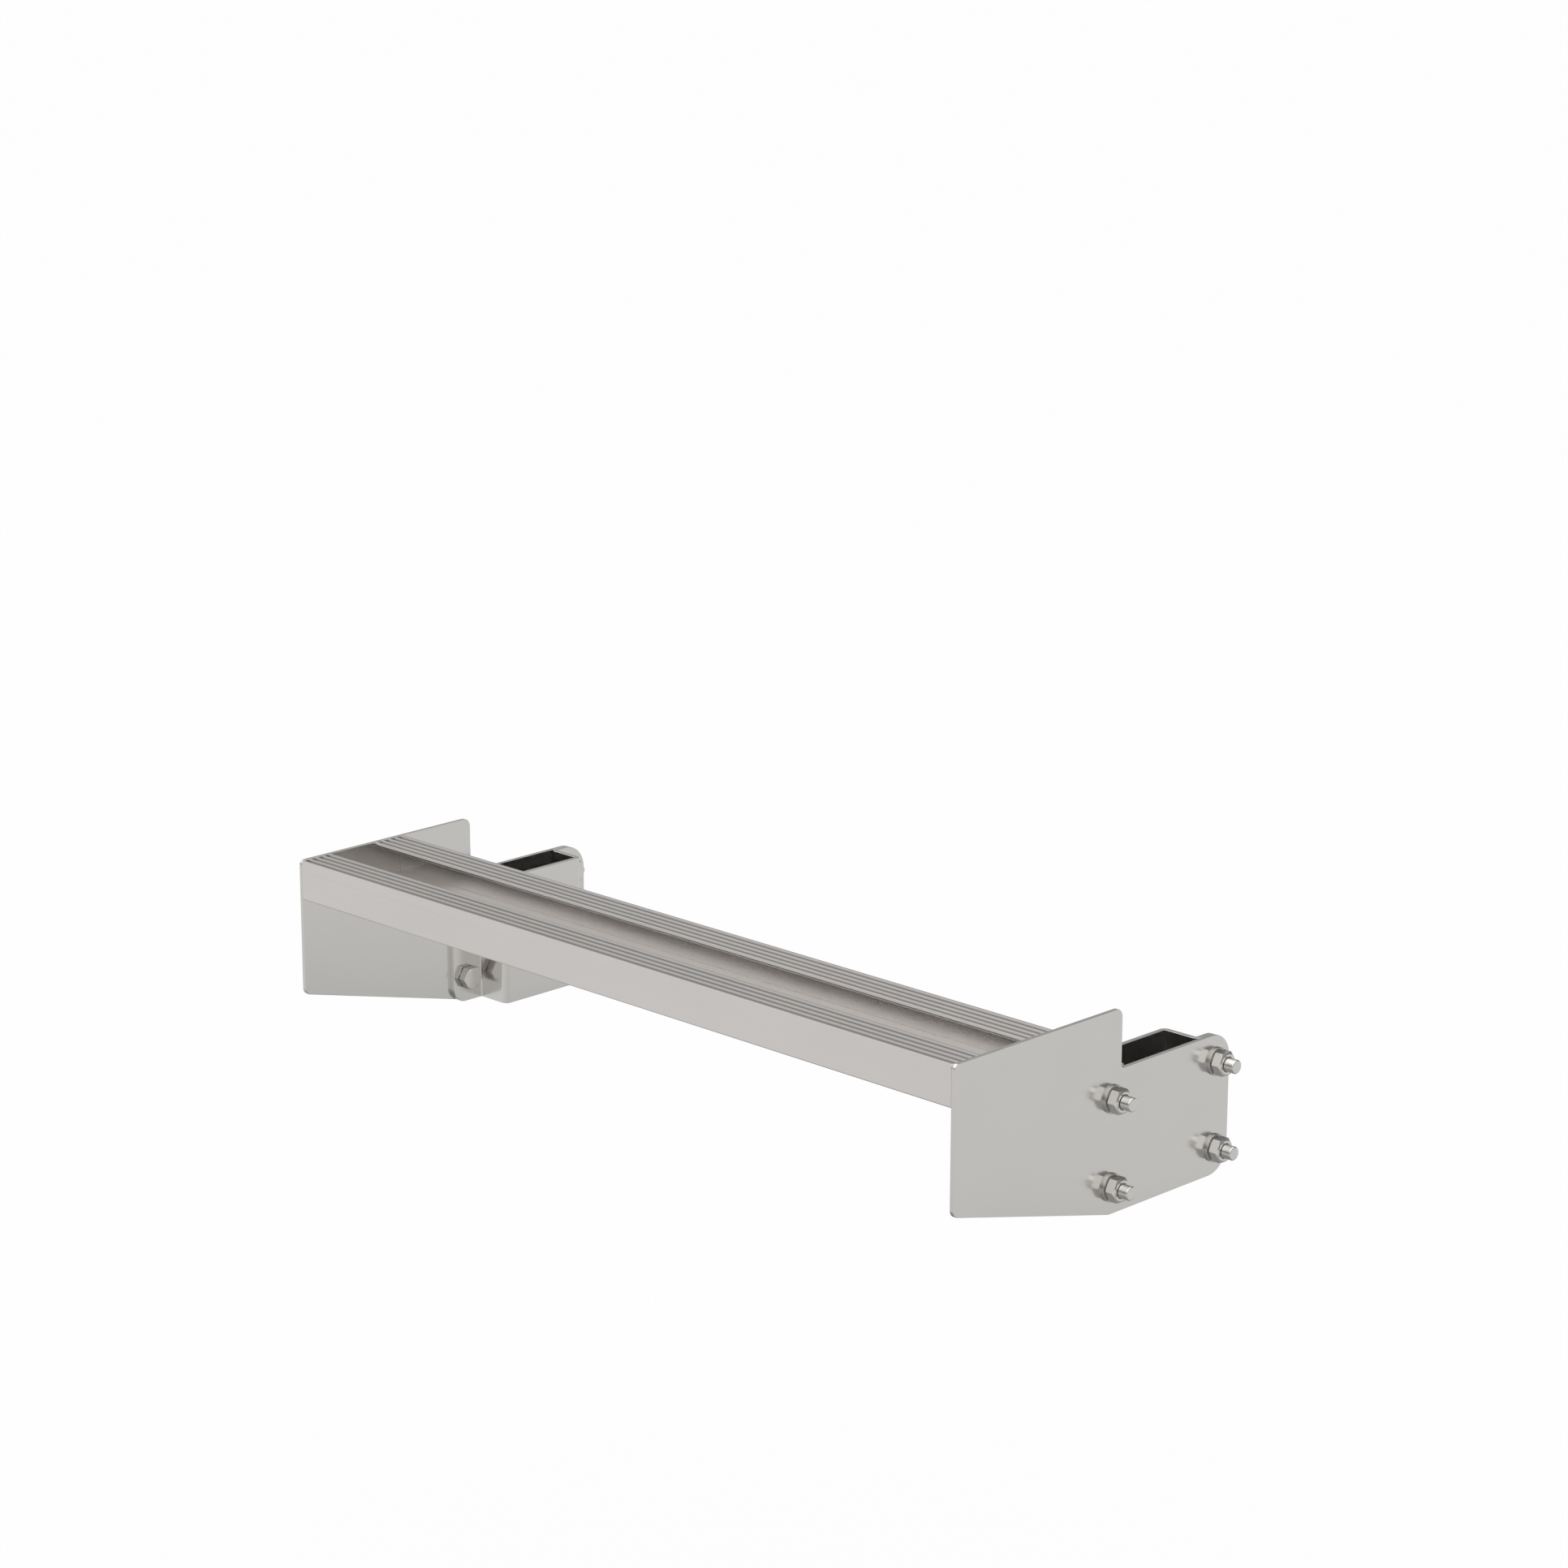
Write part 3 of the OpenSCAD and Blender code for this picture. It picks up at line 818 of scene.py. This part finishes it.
def make_world():
    """White for the camera; for the object a soft room, brightest overhead.

    Each row is one height of the room: its mean strength, and how much more
    comes from the front and from the left.
    """
    levels = ((0.26, -0.02, 0.12), (0.72, 0.56, 0.14), (1.35, 0.0, 0.0))
    heights = ((0.14, 0.53), (0.53, 0.94))
    world = bpy.data.worlds.new("studio")
    bpy.context.scene.world = world
    world.use_nodes = True
    tree = world.node_tree
    tree.nodes.clear()
    new, wire = tree.nodes.new, tree.links.new
    out = new("ShaderNodeOutputWorld")
    path = new("ShaderNodeLightPath")
    place = new("ShaderNodeTexCoord")
    axes = new("ShaderNodeSeparateXYZ")
    wire(place.outputs["Generated"], axes.inputs[0])
    around = new("ShaderNodeVectorMath")
    around.operation = "MULTIPLY"
    around.inputs[1].default_value = (1, 1, 0)
    wire(place.outputs["Generated"], around.inputs[0])
    level_way = new("ShaderNodeVectorMath")
    level_way.operation = "NORMALIZE"
    wire(around.outputs[0], level_way.inputs[0])
    total = None
    for i, (mean, front, left) in enumerate(levels):
        lean = new("ShaderNodeVectorMath")
        lean.operation = "DOT_PRODUCT"
        lean.inputs[1].default_value = (-left, -front, 0)
        wire(level_way.outputs[0], lean.inputs[0])
        tone = new("ShaderNodeMath")
        tone.operation = "ADD"
        tone.inputs[1].default_value = mean
        wire(lean.outputs["Value"], tone.inputs[0])
        if total is None:
            total = tone.outputs[0]
            continue
        rise = new("ShaderNodeMapRange")
        rise.inputs["From Min"].default_value = heights[i - 1][0]
        rise.inputs["From Max"].default_value = heights[i - 1][1]
        wire(axes.outputs["Z"], rise.inputs["Value"])
        blend = new("ShaderNodeMix")
        wire(rise.outputs["Result"], blend.inputs[0])
        wire(total, blend.inputs[2])
        wire(tone.outputs[0], blend.inputs[3])
        total = blend.outputs[0]
    light = new("ShaderNodeBackground")
    light.inputs["Color"].default_value = (1, 1, 1, 1)
    wire(total, light.inputs["Strength"])
    white = new("ShaderNodeBackground")
    white.inputs["Color"].default_value = (1, 1, 1, 1)
    white.inputs["Strength"].default_value = 1.0
    mix = new("ShaderNodeMixShader")
    wire(path.outputs["Is Camera Ray"], mix.inputs[0])
    wire(light.outputs[0], mix.inputs[1])
    wire(white.outputs[0], mix.inputs[2])
    wire(mix.outputs[0], out.inputs["Surface"])


def area_light(name, azimuth, elevation, distance, size, power):
    """Square soft light; azimuth 0 is in front (-Y) and 90 on the right."""
    data = bpy.data.lights.new(name, "AREA")
    data.shape = "SQUARE"
    data.size = size
    data.energy = power
    lamp = bpy.data.objects.new(name, data)
    bpy.context.scene.collection.objects.link(lamp)
    az, el = math.radians(azimuth), math.radians(elevation)
    way = Vector((math.sin(az) * math.cos(el), -math.cos(az) * math.cos(el),
                  math.sin(el)))
    lamp.location = way * distance
    lamp.rotation_euler = way.to_track_quat("Z", "Y").to_euler()


def make_camera():
    """Camera at the photograph's place, solved from the object's edges."""
    azimuth, elevation, roll = (math.radians(a) for a in (44.56, 15.17, 0.13))
    focal, frame_size = 5296.0, 1932.0
    centre = (967.2, 952.2)
    distance, slide = 2365.0, (100.4, 100.2)
    target = Vector((0, PLATE_FRONT, TOP))
    back = Vector((math.sin(azimuth) * math.cos(elevation),
                   -math.cos(azimuth) * math.cos(elevation),
                   math.sin(elevation)))
    right = (-back).cross(Vector((0, 0, 1))).normalized()
    up = right.cross(-back)
    c, s = math.cos(roll), math.sin(roll)
    right, up = c * right + s * up, c * up - s * right
    place = target + distance * back + slide[0] * right + slide[1] * up
    data = bpy.data.cameras.new("camera")
    data.sensor_width = 36.0
    data.lens = focal / frame_size * data.sensor_width
    data.shift_x = (frame_size / 2 - centre[0]) / frame_size
    data.shift_y = (centre[1] - frame_size / 2) / frame_size
    data.clip_start, data.clip_end = 0.05, 200.0
    camera = bpy.data.objects.new("camera", data)
    camera.matrix_world = Matrix(((right.x, up.x, back.x, place.x * MM),
                                  (right.y, up.y, back.y, place.y * MM),
                                  (right.z, up.z, back.z, place.z * MM),
                                  (0, 0, 0, 1)))
    bpy.context.scene.collection.objects.link(camera)
    bpy.context.scene.camera = camera


make_floor()
make_world()
area_light("key", -70, 70, 3.2, 3.0, 4)
make_camera()
bpy.context.scene.view_settings.view_transform = "Standard"
